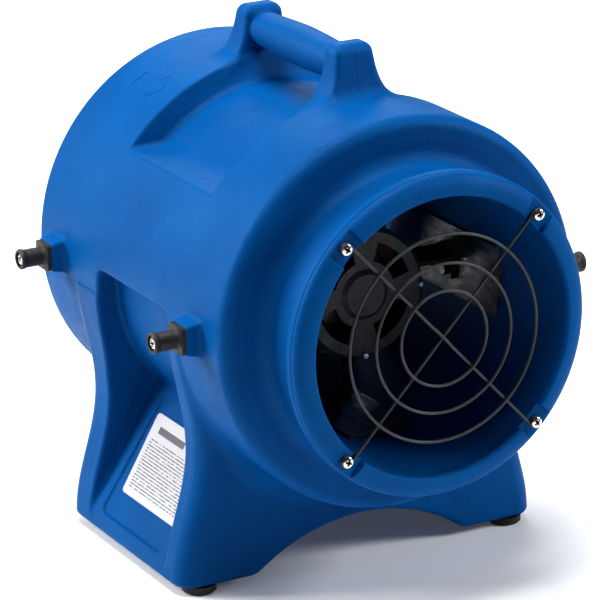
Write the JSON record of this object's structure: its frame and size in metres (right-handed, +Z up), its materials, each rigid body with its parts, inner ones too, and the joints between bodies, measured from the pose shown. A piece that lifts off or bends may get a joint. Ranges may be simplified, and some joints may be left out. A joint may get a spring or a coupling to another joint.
{
  "type": "portable axial air mover",
  "caption": "Floor-standing axial blower with a ducted drum housing, wire guards, top grip, arched base and cord posts.",
  "frame": {"origin": "on the floor under the middle of the machine", "axes": "-Y is the way the air leaves, along the fan axis; +Z is up"},
  "size_m": [0.46, 0.455, 0.504],
  "materials": {
    "blue_housing": "lightly textured rotomoulded polyethylene, satin",
    "guard_wire": "dark grey coated wire",
    "brass": "plain",
    "motor_paint": "dark grey, satin",
    "lamination_steel": "stacked laminations",
    "winding_copper": "varnished enamelled wire",
    "zinc_plate": "zinc plated sheet",
    "arm_paint": "black paint, satin",
    "impeller_plastic": "glass filled nylon",
    "black_rubber": "matte black",
    "label_film": "white printed film, blank bars only",
    "black_plastic": "fine grain",
    "red_rocker": "polished",
    "capacitor_case": "drawn can",
    "shaft_steel": "ground",
    "bright_steel": "nickel plated"
  },
  "bodies": {
    "root": {"housing_outlet": "blue_housing", "housing_front": "blue_housing", "housing_middle_top": "blue_housing", "housing_middle_bottom": "blue_housing", "housing_tunnel": "blue_housing", "housing_rear": "blue_housing", "housing_base_left": "blue_housing", "housing_base_middle": "blue_housing", "housing_base_right": "blue_housing", "carry_handle": "blue_housing", "outlet_guard_ring_large": "guard_wire", "outlet_guard_ring_middle": "guard_wire", "outlet_guard_ring_small": "guard_wire", "outlet_guard_wires": "guard_wire", "outlet_guard_screws": "bright_steel", "inlet_guard_ring_1": "guard_wire", "inlet_guard_ring_2": "guard_wire", "inlet_guard_ring_3": "guard_wire", "inlet_guard_ring_4": "guard_wire", "inlet_guard_ring_5": "guard_wire", "inlet_guard_wires": "guard_wire", "inlet_guard_screws": "bright_steel", "guard_inserts": "brass", "motor_can": "motor_paint", "front_end_bell": "motor_paint", "rear_end_bell": "motor_paint", "end_bell_screws": "bright_steel", "stator_core": "lamination_steel", "stator_winding_front": "winding_copper", "stator_winding_rear": "winding_copper", "bearing_outer_rings": "bright_steel", "wall_plates": "zinc_plate", "mount_arms": "arm_paint", "mount_wall_bolts": "zinc_plate", "mount_motor_bolts": "bright_steel", "motor_lead": "black_rubber", "lead_grommet": "black_rubber", "cord_post_front_left": "black_rubber", "cord_post_front_right": "black_rubber", "cord_post_rear_left": "black_rubber", "cord_post_rear_right": "black_rubber", "cord_post_screws": "bright_steel", "foot_pads": "black_rubber", "foot_screws": "bright_steel", "rating_label": "label_film", "switch_plate": "black_plastic", "switch_plate_screws": "bright_steel", "switch_body": "black_plastic", "cable_gland": "black_rubber", "run_capacitor": "capacitor_case", "capacitor_clip": "zinc_plate"},
    "rotor": {"shaft": "shaft_steel", "rotor_core": "lamination_steel", "bearing_inner_rings": "bright_steel", "impeller": "impeller_plastic", "impeller_washer": "bright_steel", "impeller_nut": "bright_steel"},
    "rocker": {"switch_rocker": "red_rocker"}
  },
  "joints": [
    {"name": "fan_spin", "type": "hinge", "parent": "root", "child": "rotor", "pos_m": [0, 0.089, 0.268], "axis": [0, -1, 0], "continuous": true},
    {"name": "switch_rock", "type": "hinge", "parent": "root", "child": "rocker", "pos_m": [0.15892, 0.056, 0.07775], "axis": [0, 1, 0], "range_deg": [0, 24]}
  ]
}
